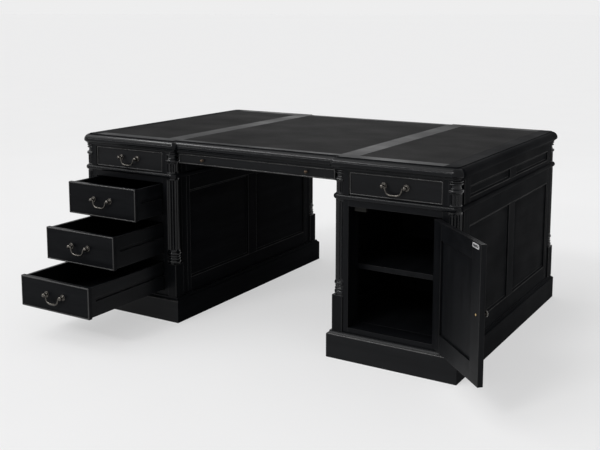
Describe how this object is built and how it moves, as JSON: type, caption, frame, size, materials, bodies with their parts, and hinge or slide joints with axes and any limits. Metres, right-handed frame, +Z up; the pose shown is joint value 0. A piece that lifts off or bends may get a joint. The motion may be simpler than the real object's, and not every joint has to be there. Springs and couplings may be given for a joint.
{
  "type": "partners desk",
  "caption": "Partners desk with a moulded breakfront top, inlaid leather, fluted corner columns, sliding drawers with bail pulls and hinged cupboards, at front and back.",
  "frame": {"origin": "on the floor under the middle of the desk", "axes": "+X to the right of the sitter at the front, +Y from the front to the back, +Z up"},
  "size_m": [1.9844, 1.658, 0.78],
  "materials": {
    "black_wood": "black stain under a satin lacquer",
    "black_leather": "matte grained leather",
    "aged_brass": "dark aged, rubbed bright on the high places",
    "steel_fittings": "plain satin"
  },
  "bodies": {
    "desk": {"desk_top": "black_wood", "leather_panels": "black_leather", "top_moulding": "black_wood", "waist_boards": "black_wood", "plinth_boards": "black_wood", "pedestal_posts": "black_wood", "frieze_posts": "black_wood", "pedestal_columns": "black_wood", "frieze_columns": "black_wood", "outer_pedestal_sides": "black_wood", "kneehole_pedestal_sides": "black_wood", "frieze_ends": "black_wood", "pedestal_boards": "black_wood", "frieze_dividers": "black_wood", "frieze_rails": "black_wood", "pedestal_rails": "black_wood", "drawer_runners": "black_wood", "post_hinge_leaves": "steel_fittings", "magnetic_catches": "steel_fittings", "cupboard_shelves": "black_wood"},
    "upper_drawer": {"upper_drawer": "black_wood", "upper_pull_posts": "aged_brass"},
    "upper_bail": {"upper_bail": "aged_brass"},
    "rear_upper_drawer": {"rear_upper_drawer": "black_wood", "rear_upper_pull_posts": "aged_brass"},
    "rear_upper_bail": {"rear_upper_bail": "aged_brass"},
    "middle_drawer": {"middle_drawer": "black_wood", "middle_pull_posts": "aged_brass"},
    "middle_bail": {"middle_bail": "aged_brass"},
    "rear_middle_drawer": {"rear_middle_drawer": "black_wood", "rear_middle_pull_posts": "aged_brass"},
    "rear_middle_bail": {"rear_middle_bail": "aged_brass"},
    "lower_drawer": {"lower_drawer": "black_wood", "lower_pull_posts": "aged_brass"},
    "lower_bail": {"lower_bail": "aged_brass"},
    "rear_lower_drawer": {"rear_lower_drawer": "black_wood", "rear_lower_pull_posts": "aged_brass"},
    "rear_lower_bail": {"rear_lower_bail": "aged_brass"},
    "left_frieze_drawer": {"left_frieze_drawer": "black_wood", "left_frieze_pull_posts": "aged_brass"},
    "left_frieze_bail": {"left_frieze_bail": "aged_brass"},
    "rear_left_frieze_drawer": {"rear_left_frieze_drawer": "black_wood", "rear_left_frieze_pull_posts": "aged_brass"},
    "rear_left_frieze_bail": {"rear_left_frieze_bail": "aged_brass"},
    "right_frieze_drawer": {"right_frieze_drawer": "black_wood", "right_frieze_pull_posts": "aged_brass"},
    "right_frieze_bail": {"right_frieze_bail": "aged_brass"},
    "rear_right_frieze_drawer": {"rear_right_frieze_drawer": "black_wood", "rear_right_frieze_pull_posts": "aged_brass"},
    "rear_right_frieze_bail": {"rear_right_frieze_bail": "aged_brass"},
    "centre_drawer": {"centre_drawer": "black_wood", "centre_drawer_knobs": "aged_brass"},
    "cupboard_door": {"cupboard_door": "black_wood", "door_knob": "aged_brass", "door_hinge_leaves": "steel_fittings"},
    "rear_centre_drawer": {"rear_centre_drawer": "black_wood", "rear_centre_drawer_knobs": "aged_brass"},
    "rear_cupboard_door": {"rear_cupboard_door": "black_wood", "rear_door_knob": "aged_brass", "rear_door_hinge_leaves": "steel_fittings"}
  },
  "joints": [
    {"name": "upper_drawer_slide", "type": "slide", "parent": "desk", "child": "upper_drawer", "axis": [0, -1, 0], "range_m": [-0.178, 0.292]},
    {"name": "upper_bail_swing", "type": "hinge", "parent": "upper_drawer", "child": "upper_bail", "pos_m": [-0.634, -0.771, 0.53185], "axis": [-1, 0, 0], "range_deg": [-15, 95]},
    {"name": "rear_upper_drawer_slide", "type": "slide", "parent": "desk", "child": "rear_upper_drawer", "axis": [0, 1, 0], "range_m": [0, 0.47]},
    {"name": "rear_upper_bail_swing", "type": "hinge", "parent": "rear_upper_drawer", "child": "rear_upper_bail", "pos_m": [0.634, 0.593, 0.53185], "axis": [1, 0, 0], "range_deg": [-15, 95]},
    {"name": "middle_drawer_slide", "type": "slide", "parent": "desk", "child": "middle_drawer", "axis": [0, -1, 0], "range_m": [-0.313, 0.157]},
    {"name": "middle_bail_swing", "type": "hinge", "parent": "middle_drawer", "child": "middle_bail", "pos_m": [-0.634, -0.906, 0.36054], "axis": [-1, 0, 0], "range_deg": [-15, 95]},
    {"name": "rear_middle_drawer_slide", "type": "slide", "parent": "desk", "child": "rear_middle_drawer", "axis": [0, 1, 0], "range_m": [0, 0.47]},
    {"name": "rear_middle_bail_swing", "type": "hinge", "parent": "rear_middle_drawer", "child": "rear_middle_bail", "pos_m": [0.634, 0.593, 0.36054], "axis": [1, 0, 0], "range_deg": [-15, 95]},
    {"name": "lower_drawer_slide", "type": "slide", "parent": "desk", "child": "lower_drawer", "axis": [0, -1, 0], "range_m": [-0.458, 0.012]},
    {"name": "lower_bail_swing", "type": "hinge", "parent": "lower_drawer", "child": "lower_bail", "pos_m": [-0.634, -1.051, 0.19419], "axis": [-1, 0, 0], "range_deg": [-15, 95]},
    {"name": "rear_lower_drawer_slide", "type": "slide", "parent": "desk", "child": "rear_lower_drawer", "axis": [0, 1, 0], "range_m": [0, 0.47]},
    {"name": "rear_lower_bail_swing", "type": "hinge", "parent": "rear_lower_drawer", "child": "rear_lower_bail", "pos_m": [0.634, 0.593, 0.19419], "axis": [1, 0, 0], "range_deg": [-15, 95]},
    {"name": "left_frieze_drawer_slide", "type": "slide", "parent": "desk", "child": "left_frieze_drawer", "axis": [0, -1, 0], "range_m": [0, 0.42]},
    {"name": "left_frieze_bail_swing", "type": "hinge", "parent": "left_frieze_drawer", "child": "left_frieze_bail", "pos_m": [-0.634, -0.593, 0.688], "axis": [-1, 0, 0], "range_deg": [-15, 95]},
    {"name": "rear_left_frieze_drawer_slide", "type": "slide", "parent": "desk", "child": "rear_left_frieze_drawer", "axis": [0, 1, 0], "range_m": [0, 0.42]},
    {"name": "rear_left_frieze_bail_swing", "type": "hinge", "parent": "rear_left_frieze_drawer", "child": "rear_left_frieze_bail", "pos_m": [0.634, 0.593, 0.688], "axis": [1, 0, 0], "range_deg": [-15, 95]},
    {"name": "right_frieze_drawer_slide", "type": "slide", "parent": "desk", "child": "right_frieze_drawer", "axis": [0, -1, 0], "range_m": [0, 0.42]},
    {"name": "right_frieze_bail_swing", "type": "hinge", "parent": "right_frieze_drawer", "child": "right_frieze_bail", "pos_m": [0.634, -0.593, 0.688], "axis": [-1, 0, 0], "range_deg": [-15, 95]},
    {"name": "rear_right_frieze_drawer_slide", "type": "slide", "parent": "desk", "child": "rear_right_frieze_drawer", "axis": [0, 1, 0], "range_m": [0, 0.42]},
    {"name": "rear_right_frieze_bail_swing", "type": "hinge", "parent": "rear_right_frieze_drawer", "child": "rear_right_frieze_bail", "pos_m": [-0.634, 0.593, 0.688], "axis": [1, 0, 0], "range_deg": [-15, 95]},
    {"name": "centre_drawer_slide", "type": "slide", "parent": "desk", "child": "centre_drawer", "axis": [0, -1, 0], "range_m": [0, 0.32]},
    {"name": "cupboard_door_hinge", "type": "hinge", "parent": "desk", "child": "cupboard_door", "pos_m": [0.8198, -0.5874, 0.3615], "axis": [0, 0, 1], "range_deg": [-136, 34]},
    {"name": "rear_centre_drawer_slide", "type": "slide", "parent": "desk", "child": "rear_centre_drawer", "axis": [0, 1, 0], "range_m": [0, 0.32]},
    {"name": "rear_cupboard_door_hinge", "type": "hinge", "parent": "desk", "child": "rear_cupboard_door", "pos_m": [-0.8198, 0.5874, 0.3615], "axis": [0, 0, 1], "range_deg": [0, 170]}
  ]
}
